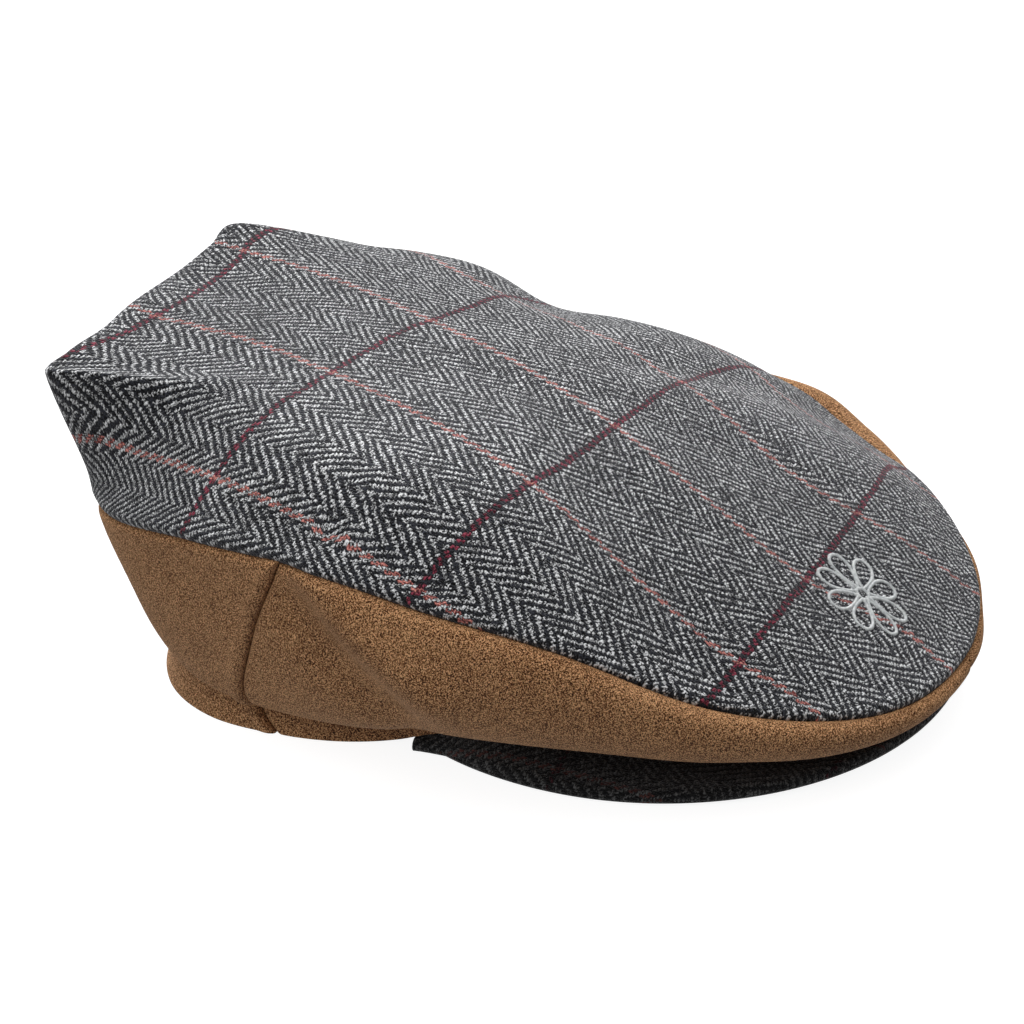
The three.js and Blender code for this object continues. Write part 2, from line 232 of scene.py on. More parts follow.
def even_rings(angles, count):
    """Levels of the crown's rings at each angle, in equal steps of a sum: the length down the profile, its
    turning, and a share that falls off with the distance from the seam."""
    fine = np.linspace(0, SEAM_EDGE, PROFILE_STEPS)
    points = cap_point(angles[:, None], fine[None, :])
    length = steps_along(points, 1)
    way = unit(np.diff(points, axis=1))
    turning = np.zeros_like(length)
    turning[:, 1:] = np.arccos(np.clip((way[:, 1:] * way[:, :-1]).sum(-1), -1, 1))
    to_seam = np.cumsum(length[:, ::-1], axis=1)[:, ::-1]
    near_seam = length * np.exp(-to_seam / (2 * EDGE_ROLL))
    parts = ((length, 1), (turning, TURN_SHARE), (near_seam, SEAM_SHARE))
    share = sum(weight * part / part.sum(1, keepdims=True) for part, weight in parts)
    reached = np.concatenate([np.zeros((len(angles), 1)), np.cumsum(share, axis=1)], axis=1)
    first = FIRST_RING / length.sum(1, keepdims=True)
    wanted = first + (1 - first) * np.linspace(0, 1, count)[None, :]
    apart = 2 * np.arange(len(angles))[:, None]
    known = reached / reached[:, -1:] + apart
    levels = np.interp((wanted + apart).ravel(), known.ravel(), np.tile(fine, len(angles)))
    return levels.reshape(wanted.shape)


def grid_normals(points, ring):
    """Outward direction at each point of a grid: its step round the cap crossed with its step down."""
    if ring:
        round_step = np.roll(points, -1, 0) - np.roll(points, 1, 0)
    else:
        round_step = np.gradient(points, axis=0)
    return unit(np.cross(round_step, np.gradient(points, axis=1)))


def ripple(points, wavelength, seed):
    """Gentle unevenness between about -1 and 1: a sum of plane waves of like length in random directions."""
    random = np.random.default_rng(seed)
    ways = unit(random.normal(size=(WAVES, 3))) * random.uniform(*WAVE_SPREAD, (WAVES, 1))
    phase = random.uniform(0, 2 * np.pi, WAVES)
    return np.sin(2 * np.pi / wavelength * points @ ways.T + phase).sum(-1) / math.sqrt(2 * WAVES)


def put_in(name, data):
    """Object of a mesh, light or camera, put into the scene."""
    made = bpy.data.objects.new(name, data)
    bpy.context.collection.objects.link(made)
    return made


def cloth_piece(name, outside, inside, cloth, ring):
    """Mesh of a cloth wall from two grids of points, its outside and its inside, joined along their edges. A
    ring closes on itself and ends in a point at the middle of the crown. cloth holds each point's place on
    the flat cloth, which becomes the UV map."""
    rows, columns = outside.shape[:2]
    out = np.arange(rows * columns).reshape(rows, columns)
    back = out + rows * columns
    here, there = (out, np.roll(out, -1, 0)) if ring else (out[:-1], out[1:])
    inner, beside = (back, np.roll(back, -1, 0)) if ring else (back[:-1], back[1:])
    quads = [
        (here[:, :-1], there[:, :-1], there[:, 1:], here[:, 1:]),
        (inner[:, 1:], beside[:, 1:], beside[:, :-1], inner[:, :-1]),
        (here[:, -1], there[:, -1], beside[:, -1], inner[:, -1]),
    ]
    points = [outside.reshape(-1, 3), inside.reshape(-1, 3)]
    places = [cloth.reshape(-1, 2)] * 2
    triangles = np.zeros((0, 3), int)
    if ring:
        tip = 2 * rows * columns
        tips = np.full(rows, tip)
        points += [outside[:, 0].mean(0, keepdims=True), inside[:, 0].mean(0, keepdims=True)]
        places += [cloth[:, 0].mean(0, keepdims=True)] * 2
        triangles = np.concatenate([
            np.stack([tips, there[:, 0], here[:, 0]], -1),
            np.stack([tips + 1, inner[:, 0], beside[:, 0]], -1),
        ])
    else:
        quads += [
            (there[:, 0], here[:, 0], inner[:, 0], beside[:, 0]),
            (out[0, :-1], out[0, 1:], back[0, 1:], back[0, :-1]),
            (out[-1, 1:], out[-1, :-1], back[-1, :-1], back[-1, 1:]),
        ]
    faces = np.concatenate([np.stack([c.ravel() for c in q], -1) for q in quads])
    mesh = bpy.data.meshes.new(name)
    mesh.from_pydata(np.concatenate(points), [], faces.tolist() + triangles.tolist())
    corner = np.empty(len(mesh.loops), np.int32)
    mesh.loops.foreach_get("vertex_index", corner)
    mesh.uv_layers.new(name="cloth").data.foreach_set("uv", np.concatenate(places)[corner].ravel())
    mesh.shade_smooth()
    return put_in(name, mesh)


# Where the tweed's stripes pass on the crown, in metres along the cloth from the middle of the crown: a few
# places that each smooth curve goes through. First the pale red stripes along the warp: number, then places
# to the front and to the wearer's right.
WARP_STRIPES = (
    (2, ((-0.120, 0.087), (-0.090, 0.081), (-0.060, 0.087), (-0.030, 0.097), (0.000, 0.106),
         (0.030, 0.111))),
    (1, ((-0.105, 0.031), (-0.080, 0.023), (-0.050, 0.027), (0.000, 0.046), (0.050, 0.065),
         (0.100, 0.073), (0.130, 0.067))),
    (0, ((-0.115, -0.028), (-0.090, -0.033), (-0.055, -0.029), (0.000, -0.006), (0.050, 0.015),
         (0.100, 0.028), (0.125, 0.021), (0.150, 0.001))),
    (-1, ((-0.050, -0.058), (-0.020, -0.056), (0.030, -0.038), (0.075, -0.015), (0.105, -0.017),
          (0.125, -0.032))),
)
# Then the dark red stripes along the weft: number, then places to the wearer's right and to the front
WEFT_STRIPES = (
    (-1, ((-0.030, -0.104), (0.020, -0.102), (0.070, -0.108))),
    (0, ((-0.070, -0.028), (-0.040, -0.031), (0.000, -0.042), (0.050, -0.047), (0.075, -0.051),
         (0.105, -0.069))),
    (1, ((-0.075, 0.042), (0.000, 0.038), (0.060, 0.031), (0.115, 0.018))),
    (2, ((-0.075, 0.098), (-0.040, 0.105), (0.010, 0.108), (0.060, 0.106), (0.095, 0.103))),
)
STRIPE_STEP = 0.005  # the stripes are held at places this far apart
END_PITCH = 0.000667  # between warp threads
PICK_PITCH = 0.000972  # between weft threads
COLUMN_ENDS = 12  # warp threads in a column of the herringbone
WARP_REPEAT = 6 * COLUMN_ENDS  # warp threads from one stripe to the next
WEFT_REPEAT = 72  # weft threads from one stripe to the next
STRIPE_HOLD = 1.0  # how firmly the stripes are held when the cloth is laid flat
FLATTEN_TURNS = 120
ANGLE_STEP = 5  # the cloth is laid flat on every fifth section
RING_STEP = 4  # and every fourth ring of the mesh


def crown_cells(reached, right, front):
    """The four points of a grid of sections and rings that lie round each place on the crown, and the share
    that each has in it. reached holds how far the grid's points are from the middle of the crown."""
    rows, rings = reached.shape
    angle = np.mod(np.degrees(np.arctan2(right, front)), 360) * rows / 360
    reach = np.hypot(right, front)
    before = np.floor(angle).astype(int)
    cells, shares = [], []
    for side in (0, 1):
        section = (before + side) % rows
        beyond = (reached[section] < reach[..., None]).sum(-1)
        ring = np.clip(beyond - 1, 0, rings - 2)
        near, far = reached[section, ring], reached[section, ring + 1]
        down = np.clip((reach - near) / (far - near), 0, 1)
        beside = np.abs(1 - side - (angle - before))
        cells += [section * rings + ring, section * rings + ring + 1]
        shares += [beside * (1 - down), beside * down]
    return np.stack(cells, -1), np.stack(shares, -1)


def on_the_stripes(stripes):
    """Number, place along and place beside, at even steps on the smooth curve of each stripe."""
    found = []
    for number, places in stripes:
        along = np.arange(places[0][0], places[-1][0], STRIPE_STEP)
        beside, = along_rows(places, along)
        found.append((np.full_like(along, number), along, beside))
    return np.concatenate(found, axis=1)


def laid_flat(points, start):
    """Places of a grid of the crown's points on the flat cloth. Every triangle of the grid should come to
    lie flat by a mere turn, without stretch. So again and again, the turn nearest to each triangle's stretch
    is taken, and then the places that give these turns with the least squared error, while the stripes are
    held."""
    rows, columns = points.shape[:2]
    here = np.arange(rows * columns).reshape(rows, columns)
    there = np.roll(here, -1, 0)
    corners = np.concatenate([
        np.stack([here[:, :-1], there[:, :-1], there[:, 1:]], -1).reshape(-1, 3),
        np.stack([here[:, :-1], there[:, 1:], here[:, 1:]], -1).reshape(-1, 3),
    ])
    corner = points.reshape(-1, 3)[corners]
    edge = corner - corner[:, :1]
    along = unit(edge[:, 1])
    across = np.cross(unit(np.cross(edge[:, 1], edge[:, 2])), along)
    local = np.stack([np.einsum("tkc,tc->tk", edge, way) for way in (along, across)], -1)
    opposite = np.roll(local, -2, 1) - np.roll(local, -1, 1)
    area = (local[:, 1, 0] * local[:, 2, 1]) / 2
    slope = np.stack([-opposite[..., 1], opposite[..., 0]], -1) / (2 * area[:, None, None])
    stiffness = np.zeros((rows * columns, rows * columns))
    blocks = area[:, None, None] * np.einsum("tkd,tld->tkl", slope, slope)
    np.add.at(stiffness, (corners[:, :, None], corners[:, None, :]), blocks)
    solve, pull = [], []
    reached = from_middle[::ANGLE_STEP, ::RING_STEP]
    warp_apart, weft_apart = WARP_REPEAT * END_PITCH, WEFT_REPEAT * PICK_PITCH
    for stripes, repeat in ((WARP_STRIPES, warp_apart), (WEFT_STRIPES, weft_apart)):
        number, along, beside = on_the_stripes(stripes)
        right, front = (beside, along) if stripes is WARP_STRIPES else (along, beside)
        cells, shares = crown_cells(reached, right, front)
        held = np.zeros((len(number), rows * columns))
        np.add.at(held, (np.arange(len(number))[:, None], cells), shares)
        solve.append(np.linalg.inv(stiffness + STRIPE_HOLD * held.T @ held))
        pull.append(STRIPE_HOLD * held.T @ (number * repeat))
    place = start.reshape(-1, 2).copy()
    for _ in range(FLATTEN_TURNS):
        stretch = np.einsum("tkc,tkd->tcd", place[corners], slope)
        turn = np.arctan2(stretch[:, 1, 0] - stretch[:, 0, 1], stretch[:, 0, 0] + stretch[:, 1, 1])
        turned = np.stack([np.cos(turn), -np.sin(turn), np.sin(turn), np.cos(turn)], -1).reshape(-1, 2, 2)
        goal = np.zeros_like(place)
        np.add.at(goal, corners, area[:, None, None] * np.einsum("tcd,tkd->tkc", turned, slope))
        place = np.stack([solve[k] @ (goal[:, k] + pull[k]) for k in (0, 1)], -1)
    return place.reshape(rows, columns, 2)


angles = np.arange(TOP_SECTIONS) * 360 / TOP_SECTIONS
levels = even_rings(angles, TOP_RINGS)
top = cap_point(angles[:, None], levels)
from_middle = FIRST_RING + np.cumsum(np.insert(steps_along(top, 1), 0, 0, axis=1), axis=1)
to_seam = from_middle[:, -1:] - from_middle
sideways = np.stack([np.sin(np.radians(angles)), np.cos(np.radians(angles))], -1)
start = from_middle[::ANGLE_STEP, ::RING_STEP, None] * sideways[::ANGLE_STEP, None]
coarse = laid_flat(top[::ANGLE_STEP, ::RING_STEP], start)

# From the coarse sections and rings to all of them, along smooth curves
rings = coarse.shape[1]
by_angle = np.concatenate([angles[::ANGLE_STEP, None], coarse.reshape(len(coarse), -1)], axis=1)
by_ring = round_the_cap(by_angle, angles).reshape(rings, 2 * TOP_SECTIONS)
by_ring = np.concatenate([np.arange(rings)[:, None], by_ring], axis=1)
tweed_place = along_rows(by_ring, np.arange(TOP_RINGS) / RING_STEP).reshape(2, TOP_SECTIONS, TOP_RINGS)
tweed_place = np.moveaxis(tweed_place, 0, -1)

raised = UNEVENNESS * ripple(top, TWEED_WAVE, 1) - rolled_in(to_seam, EDGE_ROLL)
raised += EDGE_SWELL * np.exp(-((to_seam / EDGE_WIDTH) ** 2))
top = top + grid_normals(top, True) * raised[..., None]
top_normals = grid_normals(top, True)
top_panel = cloth_piece("top_cloth", top, top - top_normals * CLOTH, tweed_place, True)


def linear(code):
    """Linear colour of an sRGB hex code."""
    channels = np.array([int(code[k:k + 2], 16) for k in (1, 3, 5)]) / 255
    light = np.where(channels <= 0.04045, channels / 12.92, ((channels + 0.055) / 1.055) ** 2.4)
    return (*light.tolist(), 1.0)


def add_node(tree, kind, inputs, **settings):
    """One shader node with its settings. Each input, by its name or number, is a value, a socket, or a node
    whose first output is taken."""
    made = tree.nodes.new("ShaderNode" + kind)
    for name, value in settings.items():
        setattr(made, name, value)
    for name, value in inputs.items():
        if isinstance(value, bpy.types.Node):
            value = value.outputs[0]
        if isinstance(value, bpy.types.NodeSocket):
            tree.links.new(value, made.inputs[name])
        else:
            made.inputs[name].default_value = value
    return made


def new_material(name):
    """Material with an empty tree of nodes, and that tree."""
    material = bpy.data.materials.new(name)
    material.use_nodes = True
    material.node_tree.nodes.clear()
    return material, material.node_tree


# The tweed's weave and yarn. A weight is how much a change counts in how light the yarn is.
TWILL = 4  # threads in a repeat of the twill
WARP_STRIPE_ENDS = 3  # warp threads in a pale red stripe
WEFT_STRIPE_PICKS = 2  # weft threads in a dark red stripe
WANDER_LENGTH = 0.009  # over which threads wander from their straight lines
ROUGH_LENGTH = 0.0011  # over which their edges are rough
WANDER = 0.0011  # how far both reach, from one side to the other
THREAD_HEIGHT = 0.0004
FLOAT_DROP = 0.9  # share of its height that a thread loses towards both ends of a float
THREAD_FULLNESS = 0.6  # power of the height, which below 1 makes threads fuller
FULL_LIGHT = 0.75  # share of the height from which a thread is fully lit
GAP_LIGHT = 0.12  # share of the light that is left between the threads
ALONG_YARN = 0.45  # changes of the yarn in the width of a thread, along it
ACROSS_YARN = 2.6  # and across it
FIBRE_LENGTH = 0.0005  # single fibres are too fine to show, so they are drawn as tufts of this size
FIBRE_WEIGHT = 2.6
FIBRE_RELIEF = 0.3  # height of the tufts as a share of the thread's
BLOTCH_LENGTH = 0.03  # over which the cloth as a whole changes
BLOTCH_WEIGHT = 0.25
FLOAT_WEIGHT = 0.45  # of what is each float's own
NUMBERS_APART = 999.5  # sets the numbers of weft threads apart from those of warp threads
YARN_RANGE = (1.85, 2.5)  # sums of these changes that give the darkest and the lightest fibres
YARN_SHADES = {  # darkest and lightest fibres of each yarn
    "warp": ("#020204", "#3c3e46"),
    "weft": ("#17181c", "#fcfdff"),
    "pale_red": ("#6e2f2e", "#ee9c92"),
    "dark_red": ("#3a0f1a", "#a8485c"),
}


def herringbone_tweed(name, painted_shade_factor):
    """Woollen herringbone: pale weft over charcoal warp in a 2 and 2 twill that turns round at each column,
    so the eye sees short pale dashes in leaning rows. Thread (i, j) shows weft where -i - j, or i - j + 2 in
    every second column, leaves 0 or 1 over 4. Pale red warp and dark red weft threads make a thin
    overcheck. All its colours are multiplied by the last argument, which below 1 paints shade over the
    whole cloth."""
    material, tree = new_material(name)
    cloth = add_node(tree, "UVMap", {}, uv_map="cloth")

    # Threads wander a little from their straight lines, and their edges are rough.
    place = cloth
    for length in (WANDER_LENGTH, ROUGH_LENGTH):
        off_line = add_node(
            tree, "TexNoise", {"Vector": cloth, "Scale": 1 / length, "Detail": 1.0}, noise_dimensions="2D")
        off_line = add_node(
            tree, "VectorMath", {0: off_line.outputs["Color"], 1: (0.5, 0.5, 0.5)}, operation="SUBTRACT")
        place = add_node(
            tree, "VectorMath", {0: off_line, 1: (WANDER, WANDER, 0), 2: place}, operation="MULTIPLY_ADD")
    thread = add_node(tree, "VectorMath", {0: place, 1: (END_PITCH, PICK_PITCH, 1)}, operation="DIVIDE")
    number = add_node(tree, "VectorMath", {0: thread}, operation="FLOOR")
    within = add_node(tree, "VectorMath", {0: thread}, operation="FRACTION")
    number = add_node(tree, "SeparateXYZ", {0: number})
    within = add_node(tree, "SeparateXYZ", {0: within})
    end, pick = number.outputs[0], number.outputs[1]
    in_end, in_pick = within.outputs[0], within.outputs[1]

    # Which thread lies on top
    column = add_node(tree, "Math", {0: end, 1: COLUMN_ENDS / 2}, operation="ADD")
    column = add_node(tree, "Math", {0: column, 1: COLUMN_ENDS}, operation="DIVIDE")
    column = add_node(tree, "Math", {0: column}, operation="FLOOR")
    turned = add_node(tree, "Math", {0: column, 1: 2}, operation="FLOORED_MODULO")
    lean = add_node(tree, "Math", {0: turned, 1: 2, 2: -1}, operation="MULTIPLY_ADD")
    count = add_node(tree, "Math", {0: end, 1: lean}, operation="MULTIPLY")
    count = add_node(tree, "Math", {0: count, 1: pick}, operation="SUBTRACT")
    count = add_node(tree, "Math", {0: turned, 1: 2, 2: count}, operation="MULTIPLY_ADD")
    step = add_node(tree, "Math", {0: count, 1: TWILL}, operation="FLOORED_MODULO")
    weft_up = add_node(tree, "Math", {0: step, 1: TWILL / 2 - 0.5}, operation="LESS_THAN")

    # Where on that thread's float: across it from 0 to 1, and along it from 0 to 2
    centred = add_node(tree, "Math", {0: in_end, 1: 0.5}, operation="SUBTRACT")
    leaning = add_node(tree, "Math", {0: centred, 1: lean, 2: 0.5}, operation="MULTIPLY_ADD")
    weft_along = add_node(tree, "Math", {0: step, 1: leaning}, operation="ADD")
    warp_along = add_node(tree, "Math", {0: in_pick, 1: step}, operation="SUBTRACT")
    warp_along = add_node(tree, "Math", {0: warp_along, 1: TWILL - 1}, operation="ADD")
    on_weft = add_node(tree, "CombineXYZ", {0: in_pick, 1: weft_along})
    on_warp = add_node(tree, "CombineXYZ", {0: in_end, 1: warp_along})
    on_float = add_node(
        tree, "Mix", {"Factor": weft_up, 4: on_warp, 5: on_weft}, data_type="VECTOR")
    around = add_node(
        tree, "VectorMath", {0: on_float.outputs[1], 1: (2, 1, 0), 2: (-1, -1, 0)}, operation="MULTIPLY_ADD")
    squared = add_node(tree, "VectorMath", {0: around, 1: around}, operation="MULTIPLY")
    bulge = add_node(
        tree, "VectorMath", {0: squared, 1: (-1, -FLOAT_DROP, 0), 2: (1, 1, 0)}, operation="MULTIPLY_ADD")
    bulge = add_node(tree, "SeparateXYZ", {0: bulge})
    height = add_node(tree, "Math", {0: bulge.outputs[0], 1: bulge.outputs[1]}, operation="MULTIPLY")
    height = add_node(tree, "Math", {0: height, 1: THREAD_FULLNESS}, operation="POWER")

    # Woollen yarn is mixed from light and dark fibres and changes along its length.
    along_weft = add_node(
        tree, "VectorMath", {0: thread, 1: (ALONG_YARN, ACROSS_YARN, 0)}, operation="MULTIPLY")
    along_warp = add_node(
        tree, "VectorMath", {0: thread, 1: (ACROSS_YARN, ALONG_YARN, 0)}, operation="MULTIPLY")
    along_yarn = add_node(
        tree, "Mix", {"Factor": weft_up, 4: along_warp, 5: along_weft}, data_type="VECTOR")
    yarn = add_node(
        tree, "TexNoise", {"Vector": along_yarn.outputs[1], "Scale": 1.0, "Detail": 2.0},
        noise_dimensions="2D")
    run = add_node(tree, "Math", {0: count, 1: TWILL}, operation="DIVIDE")
    run = add_node(tree, "Math", {0: run}, operation="FLOOR")
    own = add_node(tree, "Mix", {"Factor": weft_up, 2: end, 3: pick}, data_type="FLOAT")
    own = add_node(tree, "Math", {0: weft_up, 1: NUMBERS_APART, 2: own}, operation="MULTIPLY_ADD")
    run = add_node(tree, "CombineXYZ", {0: run, 1: own})
    chance = add_node(tree, "TexWhiteNoise", {"Vector": run}, noise_dimensions="2D")
    fibre = add_node(
        tree, "TexNoise", {"Vector": cloth, "Scale": 1 / FIBRE_LENGTH, "Detail": 1.5}, noise_dimensions="2D")
    blotch = add_node(
        tree, "TexNoise", {"Vector": cloth, "Scale": 1 / BLOTCH_LENGTH, "Detail": 2.0}, noise_dimensions="2D")
    mixed = yarn
    for change, weight in ((fibre, FIBRE_WEIGHT), (blotch, BLOTCH_WEIGHT), (chance, FLOAT_WEIGHT)):
        mixed = add_node(tree, "Math", {0: change, 1: weight, 2: mixed}, operation="MULTIPLY_ADD")
    mixed = add_node(tree, "MapRange", {
        "Value": mixed, "From Min": YARN_RANGE[0], "From Max": YARN_RANGE[1], "To Min": 0.0, "To Max": 1.0})
    shades = {}
    for yarn_name, (darkest, lightest) in YARN_SHADES.items():
        shade = add_node(
            tree, "Mix", {"Factor": mixed, 6: linear(darkest), 7: linear(lightest)}, data_type="RGBA")
        shades[yarn_name] = shade.outputs[2]

    # Overcheck
    warp_stripe = add_node(tree, "Math", {0: end, 1: WARP_REPEAT}, operation="FLOORED_MODULO")
    warp_stripe = add_node(tree, "Math", {0: warp_stripe, 1: WARP_STRIPE_ENDS - 0.5}, operation="LESS_THAN")
    weft_stripe = add_node(tree, "Math", {0: pick, 1: WEFT_REPEAT}, operation="FLOORED_MODULO")
    weft_stripe = add_node(tree, "Math", {0: weft_stripe, 1: WEFT_STRIPE_PICKS - 0.5}, operation="LESS_THAN")
    warp = add_node(
        tree, "Mix", {"Factor": warp_stripe, 6: shades["warp"], 7: shades["pale_red"]}, data_type="RGBA")
    weft = add_node(
        tree, "Mix", {"Factor": weft_stripe, 6: shades["weft"], 7: shades["dark_red"]}, data_type="RGBA")
    colour = add_node(
        tree, "Mix", {"Factor": weft_up, 6: warp.outputs[2], 7: weft.outputs[2]}, data_type="RGBA")

    # Painted shade: light doesn't reach down between the threads, and a factor below 1 darkens the whole
    # cloth.
    shade = add_node(tree, "MapRange", {
        "Value": height, "From Min": 0.0, "From Max": FULL_LIGHT,
        "To Min": GAP_LIGHT * painted_shade_factor, "To Max": painted_shade_factor})
    colour = add_node(tree, "VectorMath", {0: colour.outputs[2], "Scale": shade}, operation="SCALE")

    relief = add_node(tree, "Math", {0: fibre, 1: FIBRE_RELIEF, 2: height}, operation="MULTIPLY_ADD")
    bump = add_node(tree, "Bump", {"Strength": 1.0, "Distance": THREAD_HEIGHT, "Height": relief})
    surface = add_node(tree, "BsdfPrincipled", {
        "Base Color": colour, "Normal": bump, "Roughness": 0.95, "Specular IOR Level": 0.2,
        "Sheen Weight": 0.3, "Sheen Roughness": 0.4, "Sheen Tint": linear("#d4d4d8"),
    })
    add_node(tree, "OutputMaterial", {"Surface": surface})
    return material


top_panel.data.materials.append(herringbone_tweed("herringbone_wool_tweed", 1.0))
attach(top_panel, "root")
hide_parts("top_panel")


# Rosette
# A small flower with eight petals, embroidered on the front of the crown in pale grey thread. Each of its
# lines is a row of short satin stitches that lie across the line, close beside each other.

ROSETTE_PLACE = (0.015, 0.124)  # metres to the wearer's right and to the front, along the cloth
PETALS = 8
PETAL_FROM = 0.0022  # from the middle of the flower to the petal's foot
PETAL_TO = 0.0150
PETAL_WIDTH = 0.0084
RING_RADIUS = 0.0021
LINE_STEPS = 120  # places on each line of the flower
STITCH_SPACING = 0.00045
STITCH_HALF = 0.0007  # half of a stitch's length across its line
STITCH_SLANT = 0.5  # step along the line for each step across it
THREAD_RADIUS = 0.00023
THREAD_BLUNTNESS = 0.02  # keeps the ends of a stitch from closing altogether
STITCH_RISE = 0.00035
STITCH_RINGS = 6
STITCH_SIDES = 6
SHADE_LENGTH = 0.0012  # over which the thread changes shade
THREAD_SHADES = ("#c2c6c8", "#f4f6f6")


def on_the_crown(right, front):
    """Point of the tweed's outside and its outward direction there, straight between the mesh's points."""
    cells, shares = crown_cells(from_middle, right, front)
    spot, way = (
        (grid.reshape(-1, 3)[cells] * shares[..., None]).sum(-2) for grid in (top, top_normals)
    )
    return spot, unit(way)


def satin_stitches(line):
    """Stitches across a closed line of the flower: each is a thread that rises in an arc over the line, round
    in section and tapered to both ends. Gives points by stitch, ring and side."""
    lengths = np.linalg.norm(np.roll(line, -1, 0) - line, axis=-1)
    reached = np.concatenate([[0], np.cumsum(lengths)])
    count = int(reached[-1] / STITCH_SPACING)
    closed = np.concatenate([line, line[:1]])
    at = np.arange(count) * reached[-1] / count
    middle = np.stack([np.interp(at, reached, closed[:, k]) for k in (0, 1)], -1)
    along = unit(np.roll(middle, -1, 0) - np.roll(middle, 1, 0))
    across = unit(np.stack([-along[:, 1], along[:, 0]], -1) + STITCH_SLANT * along)
    s = np.linspace(-1, 1, STITCH_RINGS)
    flat = middle[:, None] + across[:, None] * (STITCH_HALF * s)[:, None] + ROSETTE_PLACE
    spine, normal = on_the_crown(flat[..., 0], flat[..., 1])
    spine = spine + normal * (STITCH_RISE * (1 - s**2))[:, None]
    beside = unit(np.cross(normal, np.gradient(spine, axis=1)))
    turn = np.arange(STITCH_SIDES) * 2 * np.pi / STITCH_SIDES
    girth = (THREAD_RADIUS * np.sqrt(1 + THREAD_BLUNTNESS - s**2))[:, None, None]
    ring = np.cos(turn)[:, None] * beside[:, :, None] + np.sin(turn)[:, None] * normal[:, :, None]
    return spine[:, :, None] + girth * ring


t = np.linspace(0, 2 * np.pi, LINE_STEPS, endpoint=False)
outward_way = PETAL_FROM + (PETAL_TO - PETAL_FROM) * (1 - np.cos(t)) / 2
sideways_way = PETAL_WIDTH / 2 * np.sin(t) * np.sqrt((1 - np.cos(t)) / 2)
flower_lines = [RING_RADIUS * np.stack([np.cos(t), np.sin(t)], -1)]
for k in range(PETALS):
    lean = 2 * np.pi * (k + 0.5) / PETALS
    flower_lines.append(np.stack([
        outward_way * np.cos(lean) - sideways_way * np.sin(lean),
        outward_way * np.sin(lean) + sideways_way * np.cos(lean),
    ], -1))
stitches = np.concatenate([satin_stitches(line) for line in flower_lines])
number = np.arange(stitches[..., 0].size).reshape(stitches.shape[:3])
beside = np.roll(number, -1, 2)
sides = np.stack([number[:, :-1], beside[:, :-1], beside[:, 1:], number[:, 1:]], -1).reshape(-1, 4)
ends = np.concatenate([number[:, 0, ::-1], number[:, -1]])
rosette_mesh = bpy.data.meshes.new("rosette_stitches")
rosette_mesh.from_pydata(stitches.reshape(-1, 3), [], sides.tolist() + ends.tolist())
rosette_mesh.shade_smooth()
rosette = put_in("rosette_stitches", rosette_mesh)


def viscose_thread():
    """Shiny viscose embroidery thread: pale grey, with a soft gloss and slight changes of shade."""
    material, tree = new_material("viscose_thread")
    place = add_node(tree, "TexCoord", {}).outputs["Object"]
    shade = add_node(tree, "TexNoise", {"Vector": place, "Scale": 1 / SHADE_LENGTH, "Detail": 2.0})
    shade = add_node(tree, "MapRange", {
        "Value": shade, "From Min": 0.3, "From Max": 0.7, "To Min": 0, "To Max": 1})
    darker, lighter = (linear(code) for code in THREAD_SHADES)
    colour = add_node(tree, "Mix", {"Factor": shade, 6: darker, 7: lighter}, data_type="RGBA")
    surface = add_node(tree, "BsdfPrincipled", {"Base Color": colour.outputs[2], "Roughness": 0.4})
    add_node(tree, "OutputMaterial", {"Surface": surface})
    return material


rosette_mesh.materials.append(viscose_thread())
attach(rosette, "root")


# Sides and back
# Three panels of brushed wool cloth, seamed to each other behind the ears and at the front, sewn to the
# crown along their upper edge, and turned in at the tuck to a hem that lies on the surface.

BACK_SEAM = (  # seam between side and back: level, angle
    (1, 103), (1.3, 110), (1.6, 115), (1.9, 116.5), (2.3, 116), (3, 113),
)
SEAM_BAND = 0.0045  # width of the band beside the rear seams that the seam's turned-in edges raise
SEAM_BAND_RISE = 0.001
BAND_EDGE = SEAM_BAND / 8  # over which the band falls off at its edge
SEAM_ROLL = 0.0026  # radius of the roll along the upright seams
UPPER_ROLL = 0.0042  # radius of the roll along the upper edge, which dips under the tweed
UPRIGHT = 80  # wool that leaves the crown less steeply than this many degrees rolls in less
LEAST_ROLL = 0.25  # share of the roll that is left where it leaves the crown level
SWELL = (  # how far the slack wool swells out below the crown: angle, height
    (0, 0.001), (15, 0.003), (40, 0.005), (70, 0.005), (90, 0.003), (110, 0.001), (140, 0), (220, 0),
    (250, 0.001), (280, 0.002), (320, 0.001),
)
SWELL_REACH = 0.8  # levels below the crown over which it swells
WOOL_WAVE = 0.04  # usual length of the waves in the wool's unevenness
EVEN_FROM = 2.2  # level from which the hem is even
WOOL_RINGS = 72
HEM_RINGS = 16
HEM_GATHER = 0.5  # how much the hem's rings gather at its edges


def crowded(count, gather=0.85):
    """Steps from 0 to 1 that come closer together towards both ends: t less a sine of it."""
    t = np.linspace(0, 1, count)
    return t - gather * np.sin(2 * np.pi * t) / (2 * np.pi)


def back_seam(level):
    """Angle of the right rear seam at a level."""
    return along_rows(BACK_SEAM, level)[0]


wool_levels = np.concatenate([1 + crowded(WOOL_RINGS)[:-1], 2 + crowded(HEM_RINGS, HEM_GATHER)])


